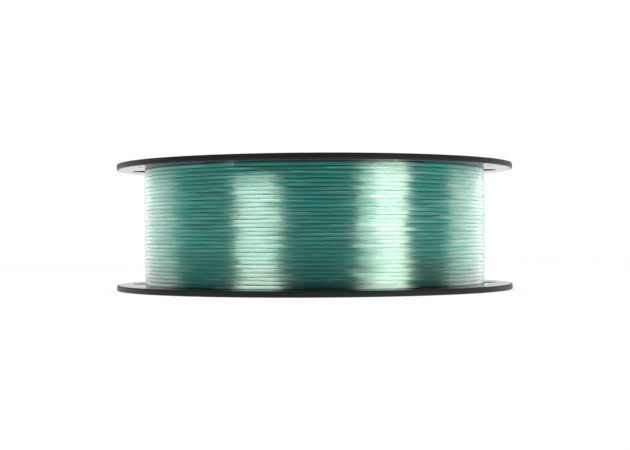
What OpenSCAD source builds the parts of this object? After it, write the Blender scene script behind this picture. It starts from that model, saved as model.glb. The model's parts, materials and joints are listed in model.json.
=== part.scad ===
// Filament spool: two equal flanges snapped on a drum, and a level winding of filament between them.
// The axis is Z, and the lower flange lies on Z = 0.

/* [Flanges] */
// Diameter of a flange
flange_d = 200; // [180:1:220]
// Width of the spool over both flanges
spool_w = 63; // [54:1:75]
// Thickness of a flange
flange_t = 2.8; // [2.4:0.1:3.6]
// Rounding of the rim's edges
rim_round = 0.6; // [0.2:0.1:1]
// Width of the raised lip along the rim
lip_w = 3.5; // [2:0.5:5]
// Width of the raised ring round the bore
bore_ring_w = 5; // [3:0.5:8]
// Depth of the outer face between lip and ring
recess = 0.6; // [0.3:0.1:1]
// Width of the ribs that cross the recess, one between each two windows
rib_w = 2.4; // [1.6:0.2:4]

/* [Windows and tie-off holes] */
// Sight windows in a flange
window_count = 6; // [4:1:8]
// Width of a window
window_w = 15; // [8:1:18]
// From the rim to the outer end of a window
window_to_rim = 7; // [5:0.5:12]
// From the drum to the inner end of a window
window_to_drum = 10; // [6:1:16]
// Clearance of the filament in a tie-off hole
tie_hole_gap = 1.05; // [0.5:0.05:1.5]
// From the rim to the middle of a tie-off hole
tie_to_rim = 6.5; // [6:0.5:9]
// Distance between the two holes of a pair
tie_pair_w = 10; // [8:0.5:14]

/* [Drum] */
// Diameter of the bore
bore_d = 55; // [50:0.5:58]
// Wall of the sleeve that forms the bore
sleeve_wall = 2.5; // [1.6:0.1:3]
// Outside diameter of the drum
drum_d = 92; // [86:1:104]
// Wall of the drum
drum_wall = 2.4; // [1.6:0.1:3]
// Thickness of the ribs between sleeve and drum
spoke_t = 2; // [1.2:0.2:3]
// From the end of the drum to its ribs
spoke_inset = 6; // [5:0.5:10]
// Clearance of the filament in its start hole
start_hole_gap = 0.5; // [0.2:0.1:1]

/* [Snap hooks] */
// Height of the ring that centres the drum
locate_h = 4; // [2:0.5:5]
// Wall of that ring, and thickness of the hooks on it
hook_t = 1.8; // [1.2:0.1:2.4]
// Hooks on each flange
hook_count = 6; // [3:1:8]
// Width of a hook
hook_w = 9; // [6:0.5:12]
// From the flange to the catch of a hook
hook_reach = 9; // [7:0.5:14]
// Width of the slots that free a hook from the ring
hook_slot_w = 1.5; // [1:0.1:3]
// Length of the sloped tip past the catch
hook_tip = 3.5; // [2.5:0.5:6]
// How far the catch stands out
hook_catch = 1.4; // [0.8:0.1:1.6]
// Clearance between the drum and the ring in it
locate_gap = 0.15; // [0.05:0.05:0.3]
// Clearance round a hook in its latch window
latch_gap = 0.3; // [0.1:0.1:0.5]

/* [Filament] */
// Diameter of the filament
filament_d = 1.75; // [1.75:0.05:2.85]
// From the rim to the outside of the winding
wound_to_rim = 13.7; // [10:0.1:20]
// How much lower the last turns lie along the flanges
edge_drop = 1.5; // [0:0.1:2.5]
// Least space between two turns of the outer layer
turn_gap = 0.6; // [0.5:0.05:1]

/* [Hidden] */

$fn = 96;
cut = 1;               // how far a cutting shape runs past what it cuts

flange_r = flange_d / 2;
bore_r = bore_d / 2;
drum_r = drum_d / 2;
drum_in_r = drum_r - drum_wall;
sleeve_r = bore_r + sleeve_wall;
wire_r = filament_d / 2;

lip_r = flange_r - lip_w;
bore_ring_r = bore_r + bore_ring_w;
window_end_r = window_w / 2;
window_out_r = flange_r - window_to_rim - window_end_r;
window_in_r = drum_r + window_to_drum + window_end_r;
tie_hole_d = filament_d + tie_hole_gap;
tie_hole_r = flange_r - tie_to_rim;
tie_half_az = asin(tie_pair_w / 2 / tie_hole_r);
rib_step = 360 / window_count;          // a rib lies midway between each two windows
back_rib_az = rib_step * (round(90 / rib_step - 0.5) + 0.5);

locate_r = drum_in_r - locate_gap;
hook_az = hook_w / locate_r * 90 / PI;  // half of the angle that a hook takes
latch_az = (hook_w / 2 + latch_gap) / locate_r * 180 / PI;
slot_az = (hook_w / 2 + hook_slot_w) / locate_r * 180 / PI;

space_w = spool_w - 2 * flange_t;       // between the flanges
mid_z = spool_w / 2;

side_gap = 0.25;                        // between the winding and a flange
wind_gap = 0.1;                         // between the winding and the drum
seat_gap = 0.15;                        // between the outer layer and the core
ring_step = 15;                         // one ring of the outer layer's tube each 15 degrees
rings_per_turn = 360 / ring_step;
tube_sides = 6;
edge_power = 6;                         // how suddenly the winding falls off at its edges

wound_r = flange_r - wound_to_rim;
first_z = flange_t + side_gap + wire_r;
last_z = spool_w - first_z;
turns = floor((last_z - first_z) / (filament_d + turn_gap));
pitch = (last_z - first_z) / turns;

// The outer layer starts in a pocket of the core and ends in a tie-off hole, both at the back.
tail_az = back_rib_az + tie_half_az;    // the tie-off hole that takes the free end
tail_arc = 40;                          // the arc in which the free end leaves the winding
tail_rise_from = 0.25;                  // share of that arc after which it also rises
start_az = tail_az - tail_arc;
tail_steps = 8;
bend_steps = 3;
start_bend_r = 1.5 * filament_d;
tail_bend_r = 1.7 * filament_d;
straight = 1.1 * filament_d;
pocket_gap = 0.4;
tail_z = spool_w - flange_t - side_gap - tail_bend_r;

// The filament's first end goes through the drum near the lower flange.
start_hole_az = 120;
start_hole_z = flange_t + 18;
start_stub = 6;                         // how far the first end reaches into the drum

// Radius of the outer layer's middle line at height z
function lay_r(z) = wound_r - wire_r - edge_drop * pow(abs(z - mid_z) / (space_w / 2), edge_power);

// Radius of the core under it, clear of the tube's straight facets
function core_r(z) = lay_r(z) * cos(ring_step / 2) - wire_r - seat_gap;

function at(r, az, z) = [r * cos(az), r * sin(az), z];

// A point u outwards and v along the turn from the point at r and az
function beside(r, az, z, u, v) = at(r + u, az, z) + v * [-sin(az), cos(az), 0];

// 0 up to a, then a smooth rise to 1 at b
function ease(t, a, b) = let (s = min(max((t - a) / (b - a), 0), 1)) s * s * (3 - 2 * s);

function unit(v) = v / norm(v);

// Middle line of the outer layer: out of its pocket, round the core, up through the tie-off hole
first_lay_r = lay_r(first_z);
last_lay_r = lay_r(last_z);
start_path = [
    beside(first_lay_r - start_bend_r, start_az, first_z, -straight, -start_bend_r),
    for (i = [0 : bend_steps - 1]) let (a = 90 * i / bend_steps)
        beside(first_lay_r - start_bend_r, start_az, first_z,
               start_bend_r * sin(a), -start_bend_r * cos(a))
];
turn_path = [
    for (i = [0 : turns * rings_per_turn]) let (z = first_z + pitch * i / rings_per_turn)
        at(lay_r(z), start_az + ring_step * i, z)
];
leave_az = tail_arc - (tail_bend_r / tie_hole_r) * 180 / PI;
leave_path = [
    for (i = [1 : tail_steps]) let (t = i / tail_steps)
        at(last_lay_r + (tie_hole_r - last_lay_r) * ease(t, 0, 1),
           start_az + leave_az * t,
           last_z + (tail_z - last_z) * ease(t, tail_rise_from, 1))
];
tail_path = [
    for (i = [1 : bend_steps]) let (a = 90 * i / bend_steps)
        beside(tie_hole_r, tail_az, tail_z + tail_bend_r * (1 - cos(a)), 0,
               -tail_bend_r * (1 - sin(a))),
    at(tie_hole_r, tail_az, spool_w - recess / 2)
];
layer_path = concat(start_path, turn_path, leave_path, tail_path);
rings = len(layer_path);
turned_from = len(start_path);          // the first ring that lies on the core

// Direction of the tube at ring i
function heading(i) =
    unit(layer_path[min(i + 1, rings - 1)] - layer_path[max(i - 1, 0)]);

// The two directions across the tube: outwards and upwards on the core. The first is square to Z
// where the tube comes out of the core, and the second to the radius where it goes up the hole.
function across(i) =
    let (p = layer_path[i], t = heading(i), out = unit([p[0], p[1], 0]))
    i < turned_from
        ? let (n = unit(cross(t, [0, 0, 1]))) [n, cross(n, t)]
        : let (n = unit(out - (out * t) * t)) [n, cross(n, t)];

tube_points = [
    for (i = [0 : rings - 1]) let (d = across(i))
        for (k = [0 : tube_sides - 1]) let (a = 360 * k / tube_sides)
            layer_path[i] + wire_r * (cos(a) * d[0] + sin(a) * d[1])
];
tube_faces = [
    for (i = [0 : rings - 2]) for (k = [0 : tube_sides - 1])
        let (a = i * tube_sides + k,
             b = i * tube_sides + (k + 1) % tube_sides,
             c = a + tube_sides,
             d = b + tube_sides)
            each [[a, b, c], [b, d, c]],
    for (k = [1 : tube_sides - 2]) [0, k + 1, k],
    for (k = [1 : tube_sides - 2]) let (e = (rings - 1) * tube_sides) [e, e + k, e + k + 1]
];

// Least space between stretches of the tube about a turn apart, along straight lines between rings
gap_parts = 4;
own_rings = 4;                          // rings next to a point that belong to its own stretch
next_turn_rings = rings_per_turn + 8;   // how far along the tube its neighbour turn can lie
gap_line = [
    for (i = [0 : rings - 2]) for (k = [0 : gap_parts - 1])
        layer_path[i] + (layer_path[i + 1] - layer_path[i]) * k / gap_parts
];
least_gap = min([
    for (i = [0 : len(gap_line) - 1])
        for (j = [i + gap_parts * own_rings : min(len(gap_line) - 1, i + gap_parts * next_turn_rings)])
            norm(gap_line[i] - gap_line[j])
]) - filament_d;
echo(turns = turns, pitch = pitch, least_gap = least_gap, tube_triangles = len(tube_faces));

// Half section of a flange, with the outer face at the bottom
module flange_section() {
    difference() {
        translate([bore_r, 0]) square([flange_r - bore_r, flange_t]);
        translate([bore_ring_r, -cut]) square([lip_r - bore_ring_r, recess + cut]);
        for (side = [0, 1])
            translate([flange_r - rim_round, side * (flange_t - 2 * rim_round) + rim_round])
                difference() {
                    translate([0, side ? 0 : -rim_round - cut])
                        square([rim_round + cut, rim_round + cut]);
                    circle(r = rim_round, $fn = 48);
                }
    }
}

// Stands across the outer face from the bore's ring to the lip
module flange_ribs() {
    for (i = [0 : window_count - 1])
        rotate([0, 0, rib_step * (i + 0.5)])
            translate([bore_ring_r - cut, -rib_w / 2, 0])
                cube([lip_r - bore_ring_r + 2 * cut, rib_w, recess + cut / 2]);
}

// A slot with round ends that points to the axis
module window_cut() {
    for (r = [window_in_r, window_out_r])
        translate([r, 0, -cut]) cylinder(d = window_w, h = flange_t + 2 * cut);
    translate([window_in_r, -window_end_r, -cut])
        cube([window_out_r - window_in_r, window_w, flange_t + 2 * cut]);
}

// A pair of holes that the filament's end is threaded through, one on each side of a rib
module tie_holes() {
    for (side = [-1, 1])
        rotate([0, 0, side * tie_half_az])
            translate([tie_hole_r, 0, -cut])
                cylinder(d = tie_hole_d, h = flange_t + 2 * cut, $fn = 32);
}

// Arc of the broken ring that centres the drum, between two hooks
module locating_arc() {
    arc = 360 / hook_count - 2 * slot_az;
    rotate([0, 0, slot_az])
        translate([0, 0, flange_t - cut / 2])
            rotate_extrude(angle = arc)
                translate([locate_r - hook_t, 0]) square([hook_t, locate_h + cut / 2]);
}

// Springy hook that stands in a gap of the ring, with its catch facing the flange
module snap_hook() {
    rotate([0, 0, -hook_az])
        translate([0, 0, flange_t])
            rotate_extrude(angle = 2 * hook_az)
                polygon([
                    [locate_r - hook_t, -cut / 2],
                    [locate_r, -cut / 2],
                    [locate_r, hook_reach],
                    [locate_r + hook_catch, hook_reach],
                    [locate_r + hook_catch, hook_reach + hook_tip / 4],
                    [locate_r - hook_t / 3, hook_reach + hook_tip],
                    [locate_r - hook_t, hook_reach + hook_tip]
                ]);
}

// One flange moulding, with its outer face down
module flange() {
    difference() {
        union() {
            rotate_extrude($fn = 180) flange_section();
            flange_ribs();
        }
        for (i = [0 : window_count - 1]) {
            rotate([0, 0, rib_step * i]) window_cut();
            rotate([0, 0, rib_step * (i + 0.5)]) tie_holes();
        }
    }
    for (i = [0 : hook_count - 1])
        rotate([0, 0, 360 * i / hook_count]) {
            snap_hook();
            locating_arc();
        }
}

module lower_flange() {
    color("#1c1c1e") flange();
}

// The same moulding turned over
module upper_flange() {
    color("#1c1c1e") translate([0, 0, spool_w]) rotate([180, 0, 0]) flange();
}

// Windows in the drum's wall that the hooks of one flange catch in
module latch_windows() {
    for (i = [0 : hook_count - 1])
        rotate([0, 0, 360 * i / hook_count - latch_az])
            translate([0, 0, flange_t + hook_reach - latch_gap])
                rotate_extrude(angle = 2 * latch_az)
                    translate([drum_in_r - cut, 0])
                        square([drum_wall + 2 * cut, hook_tip + 2 * latch_gap]);
}

module tube_between(r_out, r_in, h) {
    difference() {
        cylinder(r = r_out, h = h);
        translate([0, 0, -cut]) cylinder(r = r_in, h = h + 2 * cut);
    }
}

// Barrel, bore sleeve and the ribs between them, from flange to flange
module drum() {
    color("#232325")
        difference() {
            union() {
                translate([0, 0, flange_t]) tube_between(drum_r, drum_in_r, space_w);
                translate([0, 0, flange_t]) tube_between(sleeve_r, bore_r, space_w);
                for (i = [0 : hook_count - 1])
                    rotate([0, 0, 360 * (i + 0.5) / hook_count])
                        translate([sleeve_r - sleeve_wall / 2, -spoke_t / 2, flange_t + spoke_inset])
                            cube([drum_in_r - sleeve_r + (sleeve_wall + drum_wall) / 2, spoke_t,
                                  space_w - 2 * spoke_inset]);
            }
            latch_windows();
            translate([0, 0, spool_w]) rotate([180, 0, 0]) latch_windows();
            rotate([0, 0, start_hole_az])
                translate([drum_in_r - cut, 0, start_hole_z])
                    rotate([0, 90, 0])
                        cylinder(d = filament_d + start_hole_gap, h = drum_wall + 2 * cut, $fn = 32);
        }
}

// Half section of the inner layers, a little lower along the flanges
module core_section() {
    core_h = space_w - 2 * side_gap;
    core_z = flange_t + side_gap;
    steps = 16;
    polygon([
        [drum_r + wind_gap, core_z],
        for (i = [0 : steps]) let (z = core_z + core_h * i / steps) [core_r(z), z],
        [drum_r + wind_gap, core_z + core_h]
    ]);
}

// Room in the core for the end of the outer layer, where it comes up from the layer below
module core_pocket() {
    floor_r = first_lay_r - start_bend_r - straight - side_gap;
    rotate([0, 0, start_az])
        translate([floor_r, -start_bend_r - wire_r - pocket_gap, 0])
            cube([first_lay_r, start_bend_r + wire_r + pocket_gap + filament_d,
                  first_z + wire_r + pocket_gap]);
}

// Inner layers as one ring, with the filament's first end bent in through the drum
module filament_core() {
    color("#3f8275") {
        difference() {
            rotate_extrude($fn = 180) core_section();
            core_pocket();
        }
        rotate([0, 0, start_hole_az])
            translate([drum_r - start_stub, 0, start_hole_z])
                rotate([0, 90, 0]) cylinder(d = filament_d, h = start_stub + cut, $fn = 32);
    }
}

// Last layer of the winding, one unbroken tube
module filament_outer_layer() {
    color("#5aa392") polyhedron(points = tube_points, faces = tube_faces, convexity = 10);
}

lower_flange();
upper_flange();
drum();
filament_core();
filament_outer_layer();
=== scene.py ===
import json
import math

import bmesh
import bpy
from mathutils import Matrix, Quaternion, Vector


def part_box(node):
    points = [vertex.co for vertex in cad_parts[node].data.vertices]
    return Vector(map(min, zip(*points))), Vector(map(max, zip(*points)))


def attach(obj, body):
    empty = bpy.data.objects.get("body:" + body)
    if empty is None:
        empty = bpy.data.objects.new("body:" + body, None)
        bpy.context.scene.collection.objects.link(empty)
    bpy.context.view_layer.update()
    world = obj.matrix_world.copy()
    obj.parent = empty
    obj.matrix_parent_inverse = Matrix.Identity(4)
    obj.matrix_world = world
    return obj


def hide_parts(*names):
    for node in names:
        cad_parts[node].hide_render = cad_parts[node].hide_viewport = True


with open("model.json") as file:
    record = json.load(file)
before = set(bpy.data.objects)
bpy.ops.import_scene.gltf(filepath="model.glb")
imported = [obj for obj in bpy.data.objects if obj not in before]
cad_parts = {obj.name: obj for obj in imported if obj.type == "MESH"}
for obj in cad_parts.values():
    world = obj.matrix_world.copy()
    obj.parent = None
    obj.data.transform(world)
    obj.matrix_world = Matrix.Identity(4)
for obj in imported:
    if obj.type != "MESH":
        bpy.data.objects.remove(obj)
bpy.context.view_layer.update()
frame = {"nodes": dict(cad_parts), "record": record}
scene = bpy.context.scene
scene.view_settings.view_transform = "Standard"
print("frame loaded:", ", ".join(sorted(frame["nodes"])))

mm = 0.001

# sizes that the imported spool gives
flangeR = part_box("lower_flange")[1].x
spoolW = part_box("upper_flange")[1].z
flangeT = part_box("drum")[0].z
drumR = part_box("drum")[1].x
boreR = next(m["dims"]["r_mm"] for m in frame["record"]["mounts"] if m["name"] == "hub_bore") * mm

windingR = 86.3 * mm             # outside of the filament
weldDistance = 1e-8              # in metres, so only points that are the same are merged
cornerFacets = 3                 # of a rounded corner
noiseLow, noiseHigh = 0.3, 0.7   # nearly all of a noise texture lies between these


def addNode(tree, kind, inputs=None, **settings):
    node = tree.nodes.new(kind)
    for name, value in settings.items():
        setattr(node, name, value)
    for key, value in (inputs or {}).items():
        socket = node.inputs[key]
        if isinstance(value, bpy.types.Node):
            value = value.outputs[0]
        if isinstance(value, bpy.types.NodeSocket):
            tree.links.new(value, socket)
        else:
            socket.default_value = value
    return node


def linear(hexColor):
    parts = [int(hexColor[i:i + 2], 16) / 255 for i in (1, 3, 5)]
    return tuple(c / 12.92 if c <= 0.04045 else ((c + 0.055) / 1.055) ** 2.4 for c in parts) + (1,)


def newMaterial(name):
    material = bpy.data.materials.new(name)
    material.use_nodes = True
    material.node_tree.nodes.clear()
    return material, material.node_tree


def at(r, degrees, z):
    a = math.radians(degrees)
    return (r * math.cos(a), r * math.sin(a), z)


def smoothStep(t):
    t = min(max(t, 0), 1)
    return t * t * (3 - 2 * t)


def meshObject(name, points, edges=(), faces=()):
    mesh = bpy.data.meshes.new(name)
    mesh.from_pydata(points, edges, faces)
    mesh.update()
    obj = bpy.data.objects.new(name, mesh)
    scene.collection.objects.link(obj)
    return obj


# each corner is (x, y, radius)
def roundedOutline(corners):
    outline = []
    for i, (x, y, radius) in enumerate(corners):
        here = Vector((x, y))
        if not radius:
            outline.append((x, y))
            continue
        before = (Vector(corners[i - 1][:2]) - here).normalized()
        after = (Vector(corners[(i + 1) % len(corners)][:2]) - here).normalized()
        half = before.angle(after) / 2
        centre = here + (before + after).normalized() * radius / math.sin(half)
        first = here + before * radius / math.tan(half) - centre
        last = here + after * radius / math.tan(half) - centre
        swing = math.pi - 2 * half
        for k in range(cornerFacets + 1):
            t = k / cornerFacets
            spoke = (first * math.sin((1 - t) * swing) + last * math.sin(t * swing)) / math.sin(swing)
            outline.append(tuple(centre + spoke))
    return outline


def solidObject(name, points, faces):
    obj = meshObject(name, points, (), faces)
    work = bmesh.new()
    work.from_mesh(obj.data)
    bmesh.ops.remove_doubles(work, verts=work.verts, dist=weldDistance)
    bmesh.ops.recalc_face_normals(work, faces=work.faces)
    work.to_mesh(obj.data)
    work.free()
    return obj


def lofted(name, rings):
    n = len(rings[0])
    points = [p for ring in rings for p in ring]
    faces = [(j * n + i, j * n + (i + 1) % n, (j + 1) * n + (i + 1) % n, (j + 1) * n + i)
             for j in range(len(rings) - 1) for i in range(n)]
    faces += [tuple(range(n)), tuple(range(len(points) - n, len(points)))]
    return solidObject(name, points, faces)


def turned(name, outline, segments):
    n = len(outline)
    points = [at(r, 360 * i / segments, z) for i in range(segments) for r, z in outline]
    faces = [(i * n + j, i * n + (j + 1) % n, (i + 1) % segments * n + (j + 1) % n,
              (i + 1) % segments * n + j) for i in range(segments) for j in range(n)]
    return solidObject(name, points, faces)


def turnedArc(name, outline, start, end, steps):
    return lofted(name, [[at(r, start + (end - start) * i / steps, z) for r, z in outline]
                         for i in range(steps + 1)])


def geometryTree(name, inputs):
    tree = bpy.data.node_groups.new(name, "GeometryNodeTree")
    tree.interface.new_socket("Geometry", in_out="INPUT", socket_type="NodeSocketGeometry")
    for label, kind in inputs.items():
        tree.interface.new_socket(label, in_out="INPUT", socket_type="NodeSocket" + kind)
    tree.interface.new_socket("Geometry", in_out="OUTPUT", socket_type="NodeSocketGeometry")
    return tree, addNode(tree, "NodeGroupInput")


def finishTree(tree, geometry, material):
    real = addNode(tree, "GeometryNodeRealizeInstances", {0: geometry})
    finished = addNode(tree, "GeometryNodeSetMaterial", {"Geometry": real, "Material": material})
    addNode(tree, "NodeGroupOutput", {0: finished})
    return tree


def growMesh(obj, tree, values):
    modifier = obj.modifiers.new(tree.name, "NODES")
    modifier.node_group = tree
    for item in tree.interface.items_tree:
        if item.in_out == "INPUT" and item.name in values:
            modifier[item.identifier] = values[item.name]
    return settle(obj)


def settle(obj):
    grown = bpy.data.meshes.new_from_object(obj.evaluated_get(bpy.context.evaluated_depsgraph_get()))
    obj.modifiers.clear()
    obj.data = grown
    return obj


# camera: on the side of -Y, a little above the lower flange and 0.65 m from the axis

cameraSizes = {
    "place": (0.00017, -0.650, 0.02613),
    "lens": 72.6,                # on Blender's 36 mm sensor
    "tiltUp": 0.56,              # degrees
    "roll": -0.3,                # degrees
}
cameraData = bpy.data.cameras.new("camera")
cameraData.lens = cameraSizes["lens"]
camera = bpy.data.objects.new("camera", cameraData)
scene.collection.objects.link(camera)
camera.location = cameraSizes["place"]
lookUp = math.radians(cameraSizes["tiltUp"])
camera.rotation_mode = "QUATERNION"
camera.rotation_quaternion = (
    Vector((0, math.cos(lookUp), math.sin(lookUp))).to_track_quat("-Z", "Y")
    @ Quaternion((0, 0, 1), math.radians(cameraSizes["roll"]))
)
scene.camera = camera
print("camera placed")


# studio light: boxes that show in the filament's gloss, softer ones for the black plastic's
# sheen, fills at a plain level, and a white sweep behind

lightSizes = {
    "boxes": {                   # azimuth from the camera's side, elevation, width, height, watts, use
        "leftBox": (-39, 29, 0.58, 0.62, 33, "gloss"),
        "rightBox": (49.8, 8, 0.49, 0.70, 33, "gloss"),
        "rightSide": (34, 8, 0.24, 0.70, 7.5, "gloss"),
        "leftRim": (-130, 14, 1.20, 0.60, 6, "gloss"),
        "rightRim": (125.5, 14, 1.26, 0.60, 10.5, "gloss"),
        "leftSheen": (-38, -18, 0.63, 0.60, 4, "sheen"),       # for the rims
        "rightSheen": (47, -18, 0.66, 0.60, 9, "sheen"),
        "leftLow": (-38, 18, 0.63, 0.60, 0.8, "sheen"),        # for the faces
        "rightLow": (47, 18, 0.66, 0.60, 1.2, "sheen"),
        "rearSheen": (170, 50, 1.2, 0.9, 9, "sheen"),
        "topSheen": (-20, 75, 0.9, 0.9, 4, "sheen"),
        "leftFill": (-64, -40, 0.9, 0.55, 13, "fill"),
        "rightFill": (64, -40, 0.9, 0.55, 18, "fill"),
        "rearFill": (180, -40, 0.9, 0.55, 11, "fill"),
        "leftLevel": (-48, -10, 0.9, 0.24, 4.5, "fill"),
        "rightLevel": (48, -10, 0.9, 0.24, 4.5, "fill"),
        "rearLevel": (180, -10, 0.9, 0.24, 4.5, "fill"),
        "topFill": (0, 84, 0.6, 0.6, 8, "fill"),
    },
    "boxDistance": 1.25,
    "tints": {"rightBox": (1.0, 0.93, 0.92)},     # red, green and blue of its light
    "roomLight": 0.18,           # on matt surfaces, where white is 1
    "frontGloss": 0.03,          # how bright the room shows in the gloss, in front and at the sides
    "sideGloss": 0.06,
    "sideFrom": (-0.8, 0.1),     # where front becomes side, as the cosine of the angle off +Y
    "rearGloss": 1.3,            # the same of the white sweep behind
    "rearFrom": (0.0, 0.35),     # where it begins and is full, as the cosine of the angle off +Y
    "sweepTop": (0.30, 0.70),    # and the sine of the elevation where it begins to fade and is gone
    "floorR": 0.7,
    "floorDrop": 0.1 * mm,       # below the spool
    "paperShare": 0.35,          # of the light on it that the floor gives back
    "floorGlow": 0.82,           # the rest of its white
    "floorGloss": (0.35, 1.9),   # how bright it shows in the gloss, in front and behind
    "floorTurn": (-0.35, 0.15),  # where front becomes behind, along Y
    "matR": 0.097,
    "matDrop": 0.3 * mm,
    "paintedShadeUnderSpool": 0.35,          # painted shade: the lower glow of the floor under the spool, seen through the bore and the windows
    "shadeEdge": (0.85, 1.05),   # where that shade fades out, in radii of the mat
}


def addLamp(name, place, width, height, power, use):
    lamp = bpy.data.lights.new(name, "AREA")
    lamp.shape = "RECTANGLE"
    lamp.size, lamp.size_y = width, height
    lamp.energy = power
    lamp.color = lightSizes["tints"].get(name, (1, 1, 1))
    box = bpy.data.objects.new(name, lamp)
    scene.collection.objects.link(box)
    box.location = place
    box.rotation_mode = "QUATERNION"
    box.visible_camera = False
    box.visible_diffuse = use == "fill"
    box.visible_glossy = box.visible_transmission = use != "fill"
    return box


boxesFor = {"gloss": [], "sheen": [], "fill": []}
for name, (azimuth, elevation, width, height, power, use) in lightSizes["boxes"].items():
    a, e = math.radians(azimuth), math.radians(elevation)
    towards = Vector((math.sin(a) * math.cos(e), -math.cos(a) * math.cos(e), math.sin(e)))
    box = addLamp(name, Vector((0, 0, spoolW / 2)) + towards * lightSizes["boxDistance"], width,
                  height, power, use)
    box.rotation_quaternion = towards.to_track_quat("Z", "Y")
    boxesFor[use].append(box)


# the filament's boxes would make the black plastic look white, so each kind lights its own pieces
def keepLightOn(use, pieces):
    lit = bpy.data.collections.new("lit by " + use)
    for piece in pieces:
        lit.objects.link(piece)
    for box in boxesFor[use]:
        box.light_linking.receiver_collection = lit


# whether a ray comes straight from the camera, and whether it comes by way of gloss or glass
def viewedBy(tree):
    path = addNode(tree, "ShaderNodeLightPath").outputs
    mirrored = addNode(tree, "ShaderNodeMath", {0: path["Is Glossy Ray"],
                                                1: path["Is Transmission Ray"]},
                       operation="ADD", use_clamp=True)
    return path["Is Camera Ray"], mirrored


world = bpy.data.worlds.new("studio")
world.use_nodes = True
scene.world = world
tree = world.node_tree
tree.nodes.clear()
seen, mirrored = viewedBy(tree)
direction = addNode(tree, "ShaderNodeSeparateXYZ",
                    {0: addNode(tree, "ShaderNodeTexCoord").outputs["Generated"]})
side = addNode(tree, "ShaderNodeMapRange", {
    "Value": direction.outputs["Y"], "From Min": lightSizes["sideFrom"][0],
    "From Max": lightSizes["sideFrom"][1], "To Min": lightSizes["frontGloss"],
    "To Max": lightSizes["sideGloss"]})
behind = addNode(tree, "ShaderNodeMapRange", {
    "Value": direction.outputs["Y"], "From Min": lightSizes["rearFrom"][0],
    "From Max": lightSizes["rearFrom"][1], "To Max": lightSizes["rearGloss"]},
    interpolation_type="SMOOTHSTEP")
low = addNode(tree, "ShaderNodeMapRange", {
    "Value": direction.outputs["Z"], "From Min": lightSizes["sweepTop"][0],
    "From Max": lightSizes["sweepTop"][1], "To Min": 1.0, "To Max": 0.0},
    interpolation_type="SMOOTHSTEP")
behind = addNode(tree, "ShaderNodeMath", {0: behind, 1: low}, operation="MULTIPLY")
gloss = addNode(tree, "ShaderNodeMath", {0: side, 1: behind}, operation="MAXIMUM")
room = addNode(tree, "ShaderNodeMix", {"Factor": mirrored, 2: lightSizes["roomLight"], 3: gloss})
strength = addNode(tree, "ShaderNodeMix", {"Factor": seen, 2: room, 3: 1.0})
background = addNode(tree, "ShaderNodeBackground", {"Color": (1, 1, 1, 1), "Strength": strength})
addNode(tree, "ShaderNodeOutputWorld", {"Surface": background})


def paperDisc(name, radius, z):
    sides = 96
    disc = meshObject(name, [at(radius, 360 * i / sides, z) for i in range(sides)], (),
                      [tuple(range(sides))])
    return disc


floor = paperDisc("floor", lightSizes["floorR"], -lightSizes["floorDrop"])
floor.visible_shadow = False     # fills stand under it too, as under a glass table
mat = paperDisc("mat", lightSizes["matR"], -lightSizes["matDrop"])     # keeps them out of the windows

# uncoated paper has no gloss, and under this light it looks evenly white up to the spool's shadow
material, tree = newMaterial("matt white paper sweep")
seen, mirrored = viewedBy(tree)
place = addNode(tree, "ShaderNodeTexCoord").outputs["Object"]
behind = addNode(tree, "ShaderNodeMapRange", {
    "Value": addNode(tree, "ShaderNodeSeparateXYZ", {0: place}).outputs["Y"],
    "From Min": lightSizes["floorTurn"][0], "From Max": lightSizes["floorTurn"][1],
    "To Min": lightSizes["floorGloss"][0], "To Max": lightSizes["floorGloss"][1]},
    interpolation_type="SMOOTHSTEP")
sweep = addNode(tree, "ShaderNodeMath", {0: mirrored, 1: behind}, operation="MULTIPLY")
white = addNode(tree, "ShaderNodeMath", {0: seen, 1: sweep}, operation="MAXIMUM")
flat = addNode(tree, "ShaderNodeVectorMath", {0: place, 1: (1, 1, 0)}, operation="MULTIPLY")
away = addNode(tree, "ShaderNodeVectorMath", {0: flat}, operation="LENGTH").outputs["Value"]
# painted shade: under the spool the floor's glow is turned down, for the shade seen through the bore and
# the windows
shade = addNode(tree, "ShaderNodeMapRange", {
    "Value": away, "From Min": lightSizes["matR"] * lightSizes["shadeEdge"][0],
    "From Max": lightSizes["matR"] * lightSizes["shadeEdge"][1], "To Min": lightSizes["paintedShadeUnderSpool"],
    "To Max": lightSizes["floorGlow"]}, interpolation_type="SMOOTHSTEP")
glow = addNode(tree, "ShaderNodeEmission", {
    "Color": (1, 1, 1, 1),
    "Strength": addNode(tree, "ShaderNodeMath", {0: white, 1: shade}, operation="MULTIPLY")})
share = lightSizes["paperShare"]
paper = addNode(tree, "ShaderNodeBsdfDiffuse", {"Color": (share, share, share, 1)})
addNode(tree, "ShaderNodeOutputMaterial",
        {"Surface": addNode(tree, "ShaderNodeAddShader", {0: glow, 1: paper})})
for disc in (floor, mat):
    disc.data.materials.append(material)
print("stage and lights set")


# materials

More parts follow.
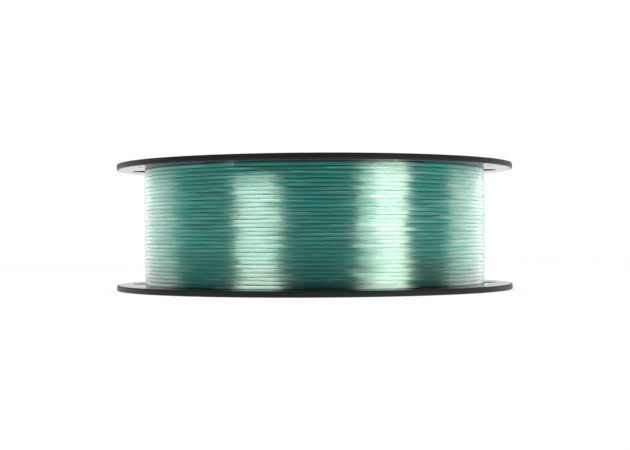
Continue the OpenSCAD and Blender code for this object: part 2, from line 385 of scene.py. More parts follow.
polystyreneLook = {
    "black": "#151518",
    "haze": "#1c1c1f",
    "worn": "#47474b",
    "ior": 1.59,
    "specular": 0.13,             # low, since an eroded rim gives back less than a smooth one
    "faceRoughness": 0.20,        # of the polished inner faces
    "outerRoughness": 0.27,
    "rimRoughness": 0.50,         # the rim is eroded matt in the mould
    "roughnessSwing": 0.03,
    "rimDepth": 0.9 * mm,
    "outerDepth": 1.7 * mm,       # how deep the outer face's finish goes in
    "lipDepth": 3.6 * mm,         # the raised lip on which spools rest and stack
    "wearRadius": 0.5 * mm,
    "wearSlope": (0.985, 0.80),   # cosine of the bend at an edge where wear begins and is full
    "wearAmount": 0.35,
    "wearRoughness": 0.25,
    "patch": 9 * mm,              # wear comes in patches
    "patchFrom": (0.42, 0.68),    # noise levels at which one begins and is full
    "grain": 0.35 * mm,           # real eroded grain is 0.05 to 0.1 mm, too fine to show
    "grainHeight": 0.007 * mm,
    "outerGrain": 0.35,           # how much of the rim's grain the outer faces have
    "flow": 38 * mm,              # faint marks of how the plastic ran in the mould
    "flowWarp": 0.6,
    "flowHeight": 0.010 * mm,
    "hairline": 0.45 * mm,        # spacing of the fine rings left by handling
    "hairlineLength": 45.455 * mm,     # and how long one is
    "hairlineFrom": (0.60, 0.74),
    "hairlineAmount": 0.5,
    "hairlineRoughness": 0.03,
}


# General purpose polystyrene is hard and takes the mould's polish, so its faces mirror what is
# beside them at a low angle, and only the eroded rim and the rubbed edges look dull.
def mouldedPolystyrene():
    k = polystyreneLook
    material, tree = newMaterial("moulded black polystyrene")
    place = addNode(tree, "ShaderNodeTexCoord").outputs["Object"]
    normal = addNode(tree, "ShaderNodeNewGeometry").outputs["Normal"]
    z = addNode(tree, "ShaderNodeSeparateXYZ", {0: place}).outputs["Z"]
    flat = addNode(tree, "ShaderNodeVectorMath", {0: place, 1: (1, 1, 0)}, operation="MULTIPLY")
    r = addNode(tree, "ShaderNodeVectorMath", {0: flat}, operation="LENGTH").outputs["Value"]
    rim = addNode(tree, "ShaderNodeMath", {0: r, 1: flangeR - k["rimDepth"]},
                  operation="GREATER_THAN")
    lip = addNode(tree, "ShaderNodeMath", {0: r, 1: flangeR - k["lipDepth"]},
                  operation="GREATER_THAN")
    height = addNode(tree, "ShaderNodeMath", {0: z, 1: spoolW / 2}, operation="SUBTRACT")
    height = addNode(tree, "ShaderNodeMath", {0: height}, operation="ABSOLUTE")
    outer = addNode(tree, "ShaderNodeMath", {0: height, 1: spoolW / 2 - k["outerDepth"]},
                    operation="GREATER_THAN")

    # rubbed edges, in patches, and fine rings on the lip where spools are stacked and turned
    rounded = addNode(tree, "ShaderNodeBevel", {"Radius": k["wearRadius"]}, samples=4)
    same = addNode(tree, "ShaderNodeVectorMath", {0: rounded, 1: normal}, operation="DOT_PRODUCT")
    edge = addNode(tree, "ShaderNodeMapRange", {"Value": same.outputs["Value"],
                                                "From Min": k["wearSlope"][0],
                                                "From Max": k["wearSlope"][1]})
    patches = addNode(tree, "ShaderNodeTexNoise", {"Vector": place, "Scale": 1 / k["patch"],
                                                   "Detail": 4.0, "Roughness": 0.7})
    patchy = addNode(tree, "ShaderNodeMapRange", {"Value": patches, "From Min": k["patchFrom"][0],
                                                  "From Max": k["patchFrom"][1]})
    worn = addNode(tree, "ShaderNodeMath", {0: edge, 1: patchy}, operation="MULTIPLY")
    around = addNode(tree, "ShaderNodeVectorMath", {0: flat}, operation="NORMALIZE")
    around = addNode(tree, "ShaderNodeVectorMath", {
        0: around, "Scale": flangeR / k["hairlineLength"]}, operation="SCALE")
    ringStep = addNode(tree, "ShaderNodeMath", {0: r, 1: k["hairline"]}, operation="DIVIDE")
    rings = addNode(tree, "ShaderNodeVectorMath", {
        0: around, 1: addNode(tree, "ShaderNodeCombineXYZ", {"Z": ringStep})}, operation="ADD")
    lines = addNode(tree, "ShaderNodeTexNoise", {"Vector": rings, "Scale": 1.0, "Detail": 2.0})
    lines = addNode(tree, "ShaderNodeMapRange", {"Value": lines, "From Min": k["hairlineFrom"][0],
                                                 "From Max": k["hairlineFrom"][1]})
    rubbed = lip
    for share in (outer, lines, k["hairlineAmount"]):
        rubbed = addNode(tree, "ShaderNodeMath", {0: rubbed, 1: share}, operation="MULTIPLY")
    worn = addNode(tree, "ShaderNodeMath", {0: worn, 1: rubbed}, operation="MAXIMUM")
    worn = addNode(tree, "ShaderNodeMath", {0: worn, 1: k["wearAmount"]}, operation="MULTIPLY")

    flow = addNode(tree, "ShaderNodeTexNoise", {"Vector": place, "Scale": 1 / k["flow"],
                                                "Detail": 3.0, "Distortion": k["flowWarp"]})
    color = addNode(tree, "ShaderNodeMix", {"Factor": flow, 6: linear(k["black"]),
                                            7: linear(k["haze"])}, data_type="RGBA")
    color = addNode(tree, "ShaderNodeMix", {"Factor": worn, 6: color.outputs[2],
                                            7: linear(k["worn"])}, data_type="RGBA")
    roughness = addNode(tree, "ShaderNodeMix", {"Factor": outer, 2: k["faceRoughness"],
                                                3: k["outerRoughness"]})
    roughness = addNode(tree, "ShaderNodeMix", {"Factor": rim, 2: roughness, 3: k["rimRoughness"]})
    swing = addNode(tree, "ShaderNodeMapRange", {
        "Value": patches, "From Min": noiseLow, "From Max": noiseHigh,
        "To Min": -k["roughnessSwing"], "To Max": k["roughnessSwing"]})
    roughness = addNode(tree, "ShaderNodeMath", {0: roughness, 1: swing}, operation="ADD")
    roughness = addNode(tree, "ShaderNodeMath", {0: worn, 1: k["wearRoughness"], 2: roughness},
                        operation="MULTIPLY_ADD")
    roughness = addNode(tree, "ShaderNodeMath", {0: lines, 1: k["hairlineRoughness"], 2: roughness},
                        operation="MULTIPLY_ADD")

    dull = addNode(tree, "ShaderNodeMath", {0: outer, 1: k["outerGrain"]}, operation="MULTIPLY")
    dull = addNode(tree, "ShaderNodeMath", {0: dull, 1: rim}, operation="MAXIMUM")
    grain = addNode(tree, "ShaderNodeTexNoise", {"Vector": place, "Scale": 1 / k["grain"],
                                                 "Detail": 1.0})
    fine = addNode(tree, "ShaderNodeBump", {"Strength": dull, "Distance": k["grainHeight"],
                                            "Height": grain})
    bump = addNode(tree, "ShaderNodeBump", {"Strength": 1.0, "Distance": k["flowHeight"],
                                            "Height": flow, "Normal": fine})
    shader = addNode(tree, "ShaderNodeBsdfPrincipled", {
        "Base Color": color.outputs[2], "Roughness": roughness, "IOR": k["ior"],
        "Specular IOR Level": k["specular"], "Normal": bump})
    addNode(tree, "ShaderNodeOutputMaterial", {"Surface": shader})
    return material


petgLook = {
    "strand": "#055c56",
    "paleStrand": "#0d7c72",
    # painted light: the grooves are coloured paler, for light that comes through the strands
    "grooveLight": "#3ad6c4",
    "underLayerLight": "#45d9c8",      # painted light: the light that comes through the outer layer, shown in its gaps
    "grooveSlope": (0.82, 0.20),  # cosine where a strand's side turns to groove and its painted light begins and is full
    "layerBlend": 0.3,            # turns before and after the step out, where that colour fades
    "streak": 39.227 * mm,        # length of a colour streak along a strand
    "streakFrom": (0.35, 0.70),
    "strandShift": 2.3,           # from turn to turn in the noise, so that each has its own streaks
    "crestHighlight": "#9fdccb",           # painted highlights: fine pale lines along the crests
    "crestHighlightAmount": 0.45,
    "crestHighlightSlope": (0.955, 0.995),  # the same cosine, where the crest begins and is full
    "crestHighlightsPerStreak": 1.6,       # so each is about 25 mm long
    "crestHighlightFrom": (0.52, 0.66),
    "crestHighlightShift": (17, 5, 0.37),  # to another place in the noise than the streaks
    "flatten": 0.85,              # how far the shading leans from the strand's own shape to the winding's
    "roughness": 0.39,
    "roughnessSwing": 0.05,
    "ior": 2.0,                   # PETG has 1.57, and the rest stands for light from inside the strand
    "tint": "#e4ffe7",            # of the gloss, which comes back through the coloured strand
    "aniso": 1.0,                 # gloss narrow round the spool and wide along its axis
    "anisoTurn": 0.25,
    "wavesPerStreak": 3.0,        # slight waves along a strand, 13 mm long
    "waviness": 0.025,
    "grainsPerStreak": 9.0,       # finer unevenness, 4 mm long
    "bump": 0.02 * mm,            # its height
}


# PETG is clear and comes out of the die smooth, so the strands look lit from within, even in their
# grooves, where that light is painted into the colour, as are pale highlights along some crests; and a
# soft box draws one bright band across all of them, ragged where strands differ.
def extrudedPetg():
    k = petgLook
    material, tree = newMaterial("extruded translucent PETG")
    outside = addNode(tree, "ShaderNodeAttribute", attribute_name="outside").outputs["Vector"]
    turn = addNode(tree, "ShaderNodeAttribute", attribute_name="turn").outputs["Fac"]
    normal = addNode(tree, "ShaderNodeNewGeometry").outputs["Normal"]
    facing = addNode(tree, "ShaderNodeVectorMath", {0: normal, 1: outside}, operation="DOT_PRODUCT")
    lean = addNode(tree, "ShaderNodeMix", {"Factor": k["flatten"], 4: normal, 5: outside},
                   data_type="VECTOR")
    lean = addNode(tree, "ShaderNodeVectorMath", {0: lean.outputs[1]}, operation="NORMALIZE")
    place = addNode(tree, "ShaderNodeTexCoord").outputs["Object"]
    flat = addNode(tree, "ShaderNodeVectorMath", {0: place, 1: (1, 1, 0)}, operation="MULTIPLY")
    around = addNode(tree, "ShaderNodeVectorMath", {0: addNode(
        tree, "ShaderNodeVectorMath", {0: flat}, operation="NORMALIZE"),
        "Scale": windingR / k["streak"]}, operation="SCALE")
    spot = addNode(tree, "ShaderNodeVectorMath", {0: around, 1: addNode(
        tree, "ShaderNodeCombineXYZ", {"Z": addNode(tree, "ShaderNodeMath", {
            0: turn, 1: k["strandShift"]}, operation="MULTIPLY")})}, operation="ADD")
    streak = addNode(tree, "ShaderNodeTexNoise", {"Vector": spot, "Scale": 1.0, "Detail": 2.0})
    pale = addNode(tree, "ShaderNodeMapRange", {"Value": streak, "From Min": k["streakFrom"][0],
                                                "From Max": k["streakFrom"][1]})
    color = addNode(tree, "ShaderNodeMix", {"Factor": pale, 6: linear(k["strand"]),
                                            7: linear(k["paleStrand"])}, data_type="RGBA")
    # painted light in the grooves, where the neighbouring strands would shade them
    deep = addNode(tree, "ShaderNodeMapRange", {
        "Value": facing.outputs["Value"], "From Min": k["grooveSlope"][0],
        "From Max": k["grooveSlope"][1]}, interpolation_type="SMOOTHSTEP")
    # painted light of the under layer, fading in and out around the step out
    under = addNode(tree, "ShaderNodeMapRange", {"Value": turn, "From Min": k["layerBlend"],
                                                 "From Max": -k["layerBlend"]})
    # painted highlights: pale lines along the crests of some strands
    crest = addNode(tree, "ShaderNodeMapRange", {
        "Value": facing.outputs["Value"], "From Min": k["crestHighlightSlope"][0],
        "From Max": k["crestHighlightSlope"][1]}, interpolation_type="SMOOTHSTEP")
    crestGlint = addNode(tree, "ShaderNodeTexNoise", {
        "Vector": addNode(tree, "ShaderNodeVectorMath", {0: spot, 1: k["crestHighlightShift"]}, operation="ADD"),
        "Scale": k["crestHighlightsPerStreak"], "Detail": 1.0})
    crestGlint = addNode(tree, "ShaderNodeMapRange", {
        "Value": crestGlint, "From Min": k["crestHighlightFrom"][0], "From Max": k["crestHighlightFrom"][1],
        "To Max": k["crestHighlightAmount"]})
    crestHighlightShare = addNode(tree, "ShaderNodeMath", {0: crest, 1: crestGlint}, operation="MULTIPLY")
    for share, over in ((deep, "grooveLight"), (under, "underLayerLight"), (crestHighlightShare, "crestHighlight")):
        color = addNode(tree, "ShaderNodeMix", {"Factor": share, 6: color.outputs[2],
                                                7: linear(k[over])}, data_type="RGBA")
    roughness = addNode(tree, "ShaderNodeMapRange", {
        "Value": streak, "From Min": noiseLow, "From Max": noiseHigh,
        "To Min": k["roughness"] - k["roughnessSwing"], "To Max": k["roughness"] + k["roughnessSwing"]})
    wave = addNode(tree, "ShaderNodeTexNoise", {"Vector": spot, "Scale": k["wavesPerStreak"],
                                                "Detail": 1.0})
    swing = addNode(tree, "ShaderNodeMapRange", {
        "Value": wave, "From Min": noiseLow, "From Max": noiseHigh, "To Min": -k["waviness"],
        "To Max": k["waviness"]}, clamp=False)
    along = addNode(tree, "ShaderNodeVectorMath", {0: (0, 0, 1), 1: flat}, operation="CROSS_PRODUCT")
    along = addNode(tree, "ShaderNodeVectorMath", {0: along}, operation="NORMALIZE")
    tilt = addNode(tree, "ShaderNodeVectorMath", {0: along, "Scale": swing}, operation="SCALE")
    lean = addNode(tree, "ShaderNodeVectorMath", {0: lean, 1: tilt}, operation="ADD")
    lean = addNode(tree, "ShaderNodeVectorMath", {0: lean}, operation="NORMALIZE")
    grain = addNode(tree, "ShaderNodeTexNoise", {"Vector": spot, "Scale": k["grainsPerStreak"],
                                                 "Detail": 2.0})
    bump = addNode(tree, "ShaderNodeBump", {"Strength": 1.0, "Distance": k["bump"], "Height": grain,
                                            "Normal": lean})
    shader = addNode(tree, "ShaderNodeBsdfPrincipled", {
        "Base Color": color.outputs[2], "Roughness": roughness, "IOR": k["ior"], "Normal": bump,
        "Specular Tint": linear(k["tint"]), "Anisotropic": k["aniso"],
        "Anisotropic Rotation": k["anisoTurn"]})
    addNode(tree, "ShaderNodeOutputMaterial", {"Surface": shader})
    return material


blackPlastic = mouldedPolystyrene()
petg = extrudedPetg()

drum = frame["nodes"]["drum"]
drum.data.materials.clear()
drum.data.materials.append(blackPlastic)
print("materials made")


# flanges: a turned plate, with windows, tie-off holes, ribs and hooks set round it

flangeSizes = {
    "rimRound": 0.6 * mm,
    "edgeRound": 0.25 * mm,      # of the steps on the outer face
    "boreRound": 0.35 * mm,
    "lipW": 3.5 * mm,
    "boreRingW": 5 * mm,
    "recess": 0.6 * mm,          # of the outer face between lip and ring
    "ribW": 2.4 * mm,
    "windows": 6,
    "windowW": 15 * mm,
    "windowInside": 56 * mm,     # from the axis
    "windowOutside": 93 * mm,
    "windowRound": 0.35 * mm,
    "tieHoleD": 2.8 * mm,
    "tieHoleR": 93.5 * mm,       # from the axis
    "tiePairW": 10 * mm,
    "hooks": 6,
    "hookW": 9 * mm,
    "hookT": 1.8 * mm,
    "hookReach": 9 * mm,
    "hookTip": 3.5 * mm,
    "hookCatch": 1.4 * mm,
    "hookSlotW": 1.5 * mm,
    "locateR": 43.45 * mm,       # outside of the ring and the hooks that centre the drum
    "locateH": 4 * mm,
    "innerCorner": 0.1 * mm,     # under the hook's catch
    "ribRoot": 0.2 * mm,         # how deep the ribs go into the plate
    "ribClear": 0.03 * mm,       # a hair under the lip, so that no two faces share a plane
    "segments": 288,
    "windowFacets": 24,
    "tieHoleFacets": 20,
    "flareFacets": 4,
    "hookFacets": 8,
    "arcFacets": 16,
    "crease": 34,                # degrees past which an edge stays sharp
}
f = flangeSizes
past = 0.5 * mm                  # how far a cutter or a root runs past the face


def flangePlate():
    lipR = flangeR - f["lipW"]
    ringR = boreR + f["boreRingW"]
    edge = f["edgeRound"]
    return turned("plate", roundedOutline([
        (boreR, 0, f["boreRound"]), (ringR, 0, edge), (ringR, f["recess"], edge),
        (lipR, f["recess"], edge), (lipR, 0, edge), (flangeR, 0, f["rimRound"]),
        (flangeR, flangeT, f["rimRound"]), (boreR, flangeT, f["boreRound"])]), f["segments"])


# heights through the plate, with how much wider an opening is there
def flaredLevels(roundness):
    steps = f["flareFacets"]
    levels = [(-past, roundness)]
    for side, z in ((-1, f["recess"]), (1, flangeT)):
        arc = [(z - side * roundness * (1 - math.sin(math.pi / 2 * i / steps)),
                roundness * (1 - math.cos(math.pi / 2 * i / steps))) for i in range(steps + 1)]
        levels += arc if side > 0 else arc[::-1]
    return levels + [(flangeT + past, roundness)]


def windowCutter():
    sides = f["windowFacets"]
    r = f["windowW"] / 2
    rings = []
    for z, flare in flaredLevels(f["windowRound"]):
        ring = []
        for centre, from90 in ((f["windowOutside"] - r, -90), (f["windowInside"] + r, 90)):
            for i in range(sides + 1):
                a = math.radians(from90 + 180 * i / sides)
                ring.append((centre + (r + flare) * math.cos(a), (r + flare) * math.sin(a), z))
        rings.append(ring)
    return lofted("window", rings)


def tieHoleCutter():
    sides = f["tieHoleFacets"]
    reach = math.asin(f["tiePairW"] / 2 / f["tieHoleR"])
    parts = []
    for side in (-1, 1):
        x, y = f["tieHoleR"] * math.cos(side * reach), f["tieHoleR"] * math.sin(side * reach)
        parts.append([[(x + (f["tieHoleD"] / 2 + flare) * math.cos(2 * math.pi * i / sides),
                        y + (f["tieHoleD"] / 2 + flare) * math.sin(2 * math.pi * i / sides), z)
                       for i in range(sides)] for z, flare in flaredLevels(f["edgeRound"])])
    return [lofted("tieHole", rings) for rings in parts]


def crossRib():
    half, low, root = f["ribW"] / 2, f["ribClear"], f["recess"] + f["ribRoot"]
    outline = roundedOutline([(-half, low, f["edgeRound"]), (half, low, f["edgeRound"]),
                              (half, root, 0), (-half, root, 0)])
    ends = (boreR + f["boreRingW"] - past, flangeR - f["lipW"] + past)
    return lofted("rib", [[(x, y, z) for y, z in outline] for x in ends])


# its tip slopes, so that it springs in as the flange is pushed on, and catches behind the window
def snapHook():
    outer, inner = f["locateR"], f["locateR"] - f["hookT"]
    half = math.degrees(f["hookW"] / outer / 2)
    top = flangeT + f["hookReach"]
    return turnedArc("hook", roundedOutline([
        (inner, flangeT - past, 0), (outer, flangeT - past, 0),
        (outer, top, f["innerCorner"]),
        (outer + f["hookCatch"], top, f["edgeRound"]),
        (outer + f["hookCatch"], top + f["hookTip"] / 4, f["edgeRound"]),
        (outer - f["hookT"] / 3, top + f["hookTip"], f["edgeRound"]),
        (inner, top + f["hookTip"], f["edgeRound"])]), -half, half, f["hookFacets"])


def locatingArc():
    outer, inner = f["locateR"], f["locateR"] - f["hookT"]
    slot = math.degrees((f["hookW"] / 2 + f["hookSlotW"]) / outer)
    return turnedArc("arc", roundedOutline([
        (inner, flangeT - past, 0), (outer, flangeT - past, 0),
        (outer, flangeT + f["locateH"], f["edgeRound"]),
        (inner, flangeT + f["locateH"], f["edgeRound"])]), slot, 360 / f["hooks"] - slot,
        f["arcFacets"])


def flangeTree():
    tree, given = geometryTree("flange", {
        "Window": "Object", "Tie hole a": "Object", "Tie hole b": "Object", "Rib": "Object",
        "Hook": "Object", "Locating arc": "Object", "Windows": "Int", "Hooks": "Int",
        "Crease angle": "Float", "Material": "Material"})
    given = given.outputs

    def ringOf(label, count, halfStep):
        shape = addNode(tree, "GeometryNodeObjectInfo", {"Object": given[label]})
        points = addNode(tree, "GeometryNodePoints", {"Count": given[count]})
        index = addNode(tree, "ShaderNodeMath", {0: addNode(tree, "GeometryNodeInputIndex"),
                                                 1: halfStep}, operation="ADD")
        step = addNode(tree, "ShaderNodeMath", {0: math.tau, 1: given[count]}, operation="DIVIDE")
        angle = addNode(tree, "ShaderNodeMath", {0: index, 1: step}, operation="MULTIPLY")
        turn = addNode(tree, "ShaderNodeCombineXYZ", {"Z": angle})
        return addNode(tree, "GeometryNodeInstanceOnPoints", {
            "Points": points, "Instance": shape.outputs["Geometry"], "Rotation": turn})

    added = addNode(tree, "GeometryNodeMeshBoolean", operation="UNION", solver="MANIFOLD")
    cut = addNode(tree, "GeometryNodeMeshBoolean", {0: added}, operation="DIFFERENCE",
                  solver="MANIFOLD")
    tree.links.new(given["Geometry"], added.inputs[1])
    for into, label, count, halfStep in (
            (added, "Rib", "Windows", 0.5), (added, "Hook", "Hooks", 0.0),
            (added, "Locating arc", "Hooks", 0.0), (cut, "Window", "Windows", 0.0),
            (cut, "Tie hole a", "Windows", 0.5), (cut, "Tie hole b", "Windows", 0.5)):
        ring = addNode(tree, "GeometryNodeRealizeInstances", {0: ringOf(label, count, halfStep)})
        tree.links.new(ring.outputs[0], into.inputs[1])
    smooth = addNode(tree, "GeometryNodeSetShadeSmooth", {0: cut})
    crease = addNode(tree, "FunctionNodeCompare", {
        0: addNode(tree, "GeometryNodeInputMeshEdgeAngle"), 1: given["Crease angle"]},
        operation="GREATER_THAN")
    sharp = addNode(tree, "GeometryNodeSetShadeSmooth", {0: smooth, "Selection": crease,
                                                         "Shade Smooth": False}, domain="EDGE")
    return finishTree(tree, sharp, given["Material"])


def makeFlange():
    plate = flangePlate()
    tieA, tieB = tieHoleCutter()
    parts = {"Window": windowCutter(), "Tie hole a": tieA, "Tie hole b": tieB, "Rib": crossRib(),
             "Hook": snapHook(), "Locating arc": locatingArc()}
    values = dict(parts, Windows=f["windows"], Hooks=f["hooks"], Material=blackPlastic)
    values["Crease angle"] = math.radians(f["crease"])
    growMesh(plate, flangeTree(), values)
    for part in parts.values():
        bpy.data.objects.remove(part)
    even = plate.modifiers.new("even", "WEIGHTED_NORMAL")
    even.keep_sharp = True
    settle(plate)
    return plate


lowerFlange = makeFlange()
lowerFlange.name = "lower_flange_moulding"
upperFlange = lowerFlange.copy()
upperFlange.data = lowerFlange.data.copy()
upperFlange.name = "upper_flange_moulding"
scene.collection.objects.link(upperFlange)
upperFlange.data.transform(Matrix.Translation((0, 0, spoolW)) @ Matrix.Rotation(math.pi, 4, "X"))
for piece, node in ((lowerFlange, "lower_flange"), (upperFlange, "upper_flange")):
    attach(piece, "root")
    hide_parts(node)
keepLightOn("sheen", (lowerFlange, upperFlange))
print("flanges:", len(lowerFlange.data.polygons), "faces each")


# filament: the last two layers as one strand, over the inner layers

windingSizes = {
    "strandD": 1.80 * mm,        # nominally 1.75, made to within 0.05
    "sideGap": 0.02 * mm,        # between the winding and a flange
    "upperDrop": 0.4 * mm,       # how much lower the last turns lie along the flanges
    "lowerDrop": 0.6 * mm,
    "edgePower": 8,
    "turns": 31,
    "pointsPerTurn": 156,
    "sides": 10,
    "climbArc": 30,              # degrees in which a turn steps up to the next
    "climbAzimuth": 150,
    "layerClimb": 0.12,          # turns in which the strand steps out to the last layer
    "tailAzimuth": 93.07,        # of the tie-off hole that takes the free end
    "tailArc": 40,
    "tailR": 93.5 * mm,
    "tailEnd": 0.3 * mm,         # below the flange's outer face
    "tailRise": 0.25,            # part of its way out over which it still lies level
    "tailSteps": 24,
    "tailBend": 1.7,             # radius of its bend into the hole, in strand diameters
    "bendSteps": 8,
    "radialWander": 0.2 * mm,
    "heightWander": 0.12 * mm,
    "wanderAround": 3.5,         # swings in a radian, so each is about 25 mm long
    "wanderApart": 1.9,          # from turn to turn in the noise
    "wanderShift": 31.7,         # from the radial noise to that in height
    "seed": 7,
}
w = windingSizes
strandR = w["strandD"] / 2
firstZ = flangeT + w["sideGap"] + strandR
lastZ = spoolW - firstZ
pitch = (lastZ - firstZ) / (w["turns"] - 1)
layerStep = math.sqrt(w["strandD"] ** 2 - (pitch / 2) ** 2)     # a layer lies in the last one's grooves


def layRadius(z):
    share = abs(z - spoolW / 2) / (spoolW / 2 - flangeT)
    drop = w["upperDrop"] if z > spoolW / 2 else w["lowerDrop"]
    return windingR - strandR - drop * share ** w["edgePower"]


def strandRoute():
    points, turnOf, looseness = [], [], []
    leaveAzimuth = w["tailAzimuth"] - w["tailArc"]
    lastTurn = w["turns"] - 1 + (leaveAzimuth - w["climbAzimuth"]) % 360 / 360
    climbShare = w["climbArc"] / 360
    for i in range((1 - w["turns"]) * w["pointsPerTurn"], round(lastTurn * w["pointsPerTurn"]) + 1):
        turn = i / w["pointsPerTurn"]
        whole = math.floor(abs(turn))
        part = abs(turn) - whole
        level = whole + smoothStep((part - 1 + climbShare) / climbShare)
        outer = smoothStep(turn / w["layerClimb"] + 0.5)
        z = min(firstZ + pitch * (level + (1 - outer) / 2), lastZ)
        near = min(part, 1 - part, climbShare) / climbShare
        over = outer * (w["strandD"] - layerStep) * 4 * near * (1 - near)    # where strands cross
        points.append(at(layRadius(z) - layerStep * (1 - outer) + over,
                         w["climbAzimuth"] + 360 * turn, z))
        turnOf.append(turn)
        looseness.append(smoothStep(min(z - firstZ, lastZ - z) / pitch))
    lastR = layRadius(lastZ)
    bendR = w["tailBend"] * w["strandD"]
    bendZ = spoolW - flangeT - w["sideGap"] - bendR
    leaveArc = w["tailArc"] - math.degrees(bendR / w["tailR"])
    level = w["tailRise"]
    for i in range(1, w["tailSteps"] + 1):
        t = i / w["tailSteps"]
        points.append(at(lastR + (w["tailR"] - lastR) * smoothStep(t), leaveAzimuth + leaveArc * t,
                         lastZ + (bendZ - lastZ) * smoothStep((t - level) / (1 - level))))
        turnOf.append(lastTurn + leaveArc * t / 360)
        looseness.append(0.0)
    for i in range(1, w["bendSteps"] + 1):
        a = math.pi / 2 * i / w["bendSteps"]
        back = math.degrees(bendR * (1 - math.sin(a)) / w["tailR"])
        points.append(at(w["tailR"], w["tailAzimuth"] - back, bendZ + bendR * (1 - math.cos(a))))
        turnOf.append(lastTurn + w["tailArc"] / 360)
        looseness.append(0.0)
    points.append(at(w["tailR"], w["tailAzimuth"], spoolW - w["tailEnd"]))
    turnOf.append(lastTurn + w["tailArc"] / 360)
    looseness.append(0.0)
    return points, turnOf, looseness


def routeObject(name, points, links, outside, attributes):
    obj = meshObject(name, points, links)
    for label, values in attributes.items():
        obj.data.attributes.new(label, "FLOAT", "POINT").data.foreach_set("value", values)
    obj.data.attributes.new("outside", "FLOAT_VECTOR", "POINT").data.foreach_set("vector", outside)
    return obj


def strandTree():
    tree, given = geometryTree("strand", {
        "Strand diameter": "Float", "Sides": "Int", "Radial wander": "Float",
        "Height wander": "Float", "Seed": "Float", "Material": "Material"})
    given = given.outputs
    turn = addNode(tree, "GeometryNodeInputNamedAttribute", {"Name": "turn"}, data_type="FLOAT")
    loose = addNode(tree, "GeometryNodeInputNamedAttribute", {"Name": "looseness"}, data_type="FLOAT")
    position = addNode(tree, "GeometryNodeInputPosition")
    flat = addNode(tree, "ShaderNodeVectorMath", {0: position, 1: (1, 1, 0)}, operation="MULTIPLY")
    outward = addNode(tree, "ShaderNodeVectorMath", {0: flat}, operation="NORMALIZE")
    around = addNode(tree, "ShaderNodeVectorMath", {0: outward, "Scale": w["wanderAround"]},
                     operation="SCALE")
    along = addNode(tree, "ShaderNodeCombineXYZ", {"Z": addNode(tree, "ShaderNodeMath", {
        0: turn, 1: w["wanderApart"]}, operation="MULTIPLY")})
    spot = addNode(tree, "ShaderNodeVectorMath", {0: around, 1: along}, operation="ADD")
    offsets = []
    for axis, label, shift in ((outward, "Radial wander", 0.0),
                               ((0, 0, 1), "Height wander", w["wanderShift"])):
        seed = addNode(tree, "ShaderNodeMath", {0: given["Seed"], 1: shift}, operation="ADD")
        noise = addNode(tree, "ShaderNodeTexNoise", {"Vector": spot, "W": seed, "Scale": 1.0,
                                                     "Detail": 1.0}, noise_dimensions="4D")
        swing = addNode(tree, "ShaderNodeMapRange", {
            "Value": noise, "From Min": noiseLow, "From Max": noiseHigh, "To Min": -1.0}, clamp=False)
        size = addNode(tree, "ShaderNodeMath", {0: swing, 1: given[label]}, operation="MULTIPLY")
        size = addNode(tree, "ShaderNodeMath", {0: size, 1: loose}, operation="MULTIPLY")
        offsets.append(addNode(tree, "ShaderNodeVectorMath", {0: axis, "Scale": size},
                               operation="SCALE"))
    offset = addNode(tree, "ShaderNodeVectorMath", {0: offsets[0], 1: offsets[1]}, operation="ADD")
    moved = addNode(tree, "GeometryNodeSetPosition", {"Geometry": given["Geometry"],
                                                      "Offset": offset})
    curve = addNode(tree, "GeometryNodeMeshToCurve", {0: moved})
    radius = addNode(tree, "ShaderNodeMath", {0: given["Strand diameter"], 1: 0.5},
                     operation="MULTIPLY")
    ring = addNode(tree, "GeometryNodeCurvePrimitiveCircle", {"Resolution": given["Sides"],
                                                              "Radius": radius})
    tube = addNode(tree, "GeometryNodeCurveToMesh", {"Curve": curve, "Profile Curve": ring,
                                                     "Fill Caps": True})
    smooth = addNode(tree, "GeometryNodeSetShadeSmooth", {0: tube})
    return finishTree(tree, smooth, given["Material"])


strands = strandTree()
points, turnOf, looseness = strandRoute()
outside = [c for x, y, z in points for c in (x / math.hypot(x, y), y / math.hypot(x, y), 0)]
winding = routeObject("filament_winding", points, [(i, i + 1) for i in range(len(points) - 1)],
                      outside, {"turn": turnOf, "looseness": looseness})
growMesh(winding, strands, {
    "Strand diameter": w["strandD"], "Sides": w["sides"], "Radial wander": w["radialWander"],
    "Height wander": w["heightWander"], "Seed": float(w["seed"]), "Material": petg})
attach(winding, "root")
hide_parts("filament_outer_layer")
print("winding:", len(winding.data.polygons), "faces")


# filament: the inner layers under that, which show through the windows by their edge turns

innerSizes = {
    "wallGap": 0.1 * mm,         # between the first layer and the drum
    "pointsPerTurn": 120,
    "sides": 8,
    "climbArc": 50,              # degrees in which a layer's last turn climbs to the next layer
    "lowerClimb": 205,           # azimuths at which they climb
    "upperClimb": 340,
    "radialWander": 0.10 * mm,
    "heightWander": 0.06 * mm,
    "bodyInset": 1.1 * mm,       # of the wound body under the edge turns
    "bodySegments": 144,
    "startAzimuth": 120,         # the hole in the drum that takes the first end
    "startZ": 18 * mm,           # above the lower flange
    "startReach": 6 * mm,        # into the drum
    "startSteps": 6,
    "ridge": (-0.85, -0.45, 0, 0.45, 0.85),     # points across a strand of the body, in its radii
    "bodyTurn": -60,             # below 0, where the under layer's painted light is
    "noiseApart": 100,           # turns, so that each end's strands have noise of their own
}
n = innerSizes
lastInnerR = layRadius(firstZ) - 2 * layerStep
firstInnerR = drumR + n["wallGap"] + strandR
innerLayers = round((lastInnerR - firstInnerR) / layerStep)
innerStep = (lastInnerR - firstInnerR) / innerLayers


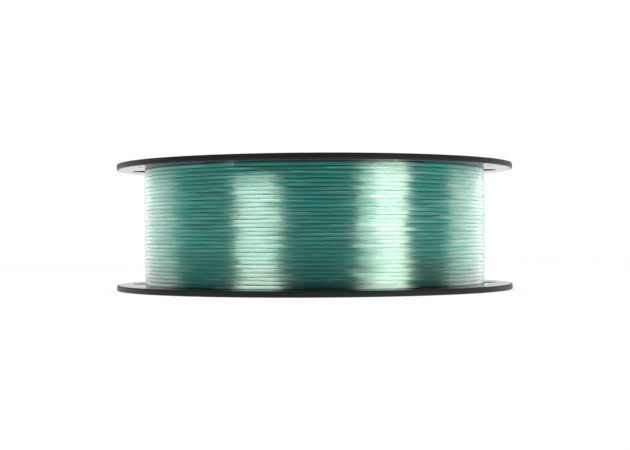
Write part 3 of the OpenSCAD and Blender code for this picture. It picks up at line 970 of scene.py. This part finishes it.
# side is -1 at the lower flange and 1 at the upper one
def edgeTurnsRoute(climbAzimuth, side):
    points, turnOf = [], []
    climbShare = n["climbArc"] / 360
    steps = (innerLayers + 1) * n["pointsPerTurn"]
    for i in range(steps - int(climbShare * n["pointsPerTurn"])):
        turn = i / n["pointsPerTurn"]
        whole = math.floor(turn)
        level = whole + smoothStep((turn - whole - 1 + climbShare) / climbShare)
        deeper = pitch / 2 * (1 - math.cos(math.pi * level)) / 2     # in every second layer
        z = firstZ + deeper
        points.append(at(firstInnerR + innerStep * level, climbAzimuth + 360 * turn,
                         z if side < 0 else spoolW - z))
        turnOf.append(n["noiseApart"] * (side + 2) + turn)
    return points, turnOf


def startRoute():
    z = flangeT + n["startZ"]
    steps = n["startSteps"]
    ends = (drumR - n["startReach"], firstInnerR + innerStep)
    points = [at(ends[0] + (ends[1] - ends[0]) * i / steps, n["startAzimuth"], z)
              for i in range(steps + 1)]
    return points, [0.0] * len(points)


def woundBody():
    lowZ = flangeT + w["sideGap"] + n["bodyInset"]
    outline = [(drumR + n["wallGap"], spoolW - lowZ), (drumR + n["wallGap"], lowZ)]
    rings = w["turns"] - 2
    for k in range(1, rings + 1):
        middle = firstZ + pitch * k
        for share in n["ridge"]:
            outline.append((layRadius(middle) - 2 * layerStep
                            + strandR * math.sqrt(1 - share ** 2), middle + share * pitch / 2))
    return turned("filament_inner_layers", outline, n["bodySegments"])


body = woundBody()
outsideOf, turnOf = [], []
for vertex in body.data.vertices:
    x, y, z = vertex.co
    r = math.hypot(x, y)
    wall = abs(z - spoolW / 2) < spoolW / 2 - firstZ - pitch / 2
    outsideOf += (x / r, y / r, 0) if wall else (0, 0, math.copysign(1, z - spoolW / 2))
    turnOf.append(n["bodyTurn"] + round((z - firstZ) / pitch))
body.data.attributes.new("outside", "FLOAT_VECTOR", "POINT").data.foreach_set("vector", outsideOf)
body.data.attributes.new("turn", "FLOAT", "POINT").data.foreach_set("value", turnOf)
body.data.shade_smooth()
body.data.materials.append(petg)

points, turnOf, outsideOf, links = [], [], [], []
for route, outside in ((edgeTurnsRoute(n["lowerClimb"], -1), (0, 0, -1)),
                       (edgeTurnsRoute(n["upperClimb"], 1), (0, 0, 1)), (startRoute(), (0, 0, 1))):
    links += [(len(points) + i, len(points) + i + 1) for i in range(len(route[0]) - 1)]
    points += route[0]
    turnOf += route[1]
    outsideOf += outside * len(route[0])
edgeTurns = routeObject("filament_edge_turns", points, links, outsideOf,
                        {"turn": turnOf, "looseness": [1.0] * len(points)})
growMesh(edgeTurns, strands, {
    "Strand diameter": w["strandD"], "Sides": n["sides"], "Radial wander": n["radialWander"],
    "Height wander": n["heightWander"], "Seed": float(w["seed"]), "Material": petg})
for piece in (body, edgeTurns):
    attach(piece, "root")
    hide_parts("filament_core")
keepLightOn("gloss", (winding, body, edgeTurns))
print("inner layers:", len(body.data.polygons), "and", len(edgeTurns.data.polygons), "faces")
